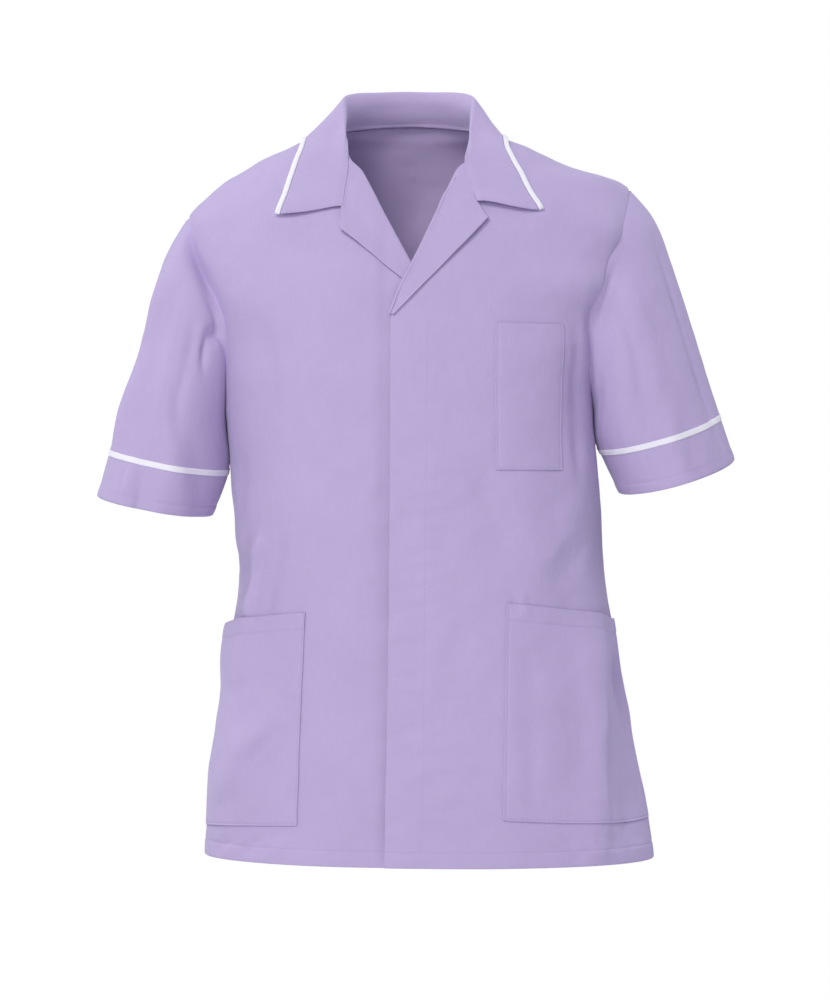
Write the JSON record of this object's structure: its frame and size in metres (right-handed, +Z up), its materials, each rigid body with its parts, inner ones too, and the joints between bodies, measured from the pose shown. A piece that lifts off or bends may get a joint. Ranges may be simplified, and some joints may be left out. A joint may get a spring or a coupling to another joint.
{
  "type": "medical tunic",
  "caption": "Short-sleeved healthcare tunic in worn form: notched collar with piping, braided sleeves, covered front overlap and patch pockets.",
  "frame": {"origin": "midway between the two points where the neck seam meets the shoulder seams, where the wearer's shoulders hold the tunic up", "axes": "+Z up, the front faces -Y, +X towards the wearer's left"},
  "size_m": [0.6364, 0.2886, 0.7696],
  "materials": {
    "lilac_cloth": "matte plain poly-cotton",
    "white_trim": "matte piping and braid"
  },
  "bodies": {
    "root": {"front_left": "lilac_cloth", "front_right": "lilac_cloth", "back": "lilac_cloth", "sleeve_left": "lilac_cloth", "sleeve_right": "lilac_cloth", "collar": "lilac_cloth", "lapel_left": "lilac_cloth", "lapel_right": "lilac_cloth", "collar_piping": "white_trim", "sleeve_braid_left": "white_trim", "sleeve_braid_right": "white_trim", "chest_pocket": "lilac_cloth", "lower_pocket_left": "lilac_cloth", "lower_pocket_right": "lilac_cloth"}
  },
  "joints": []
}
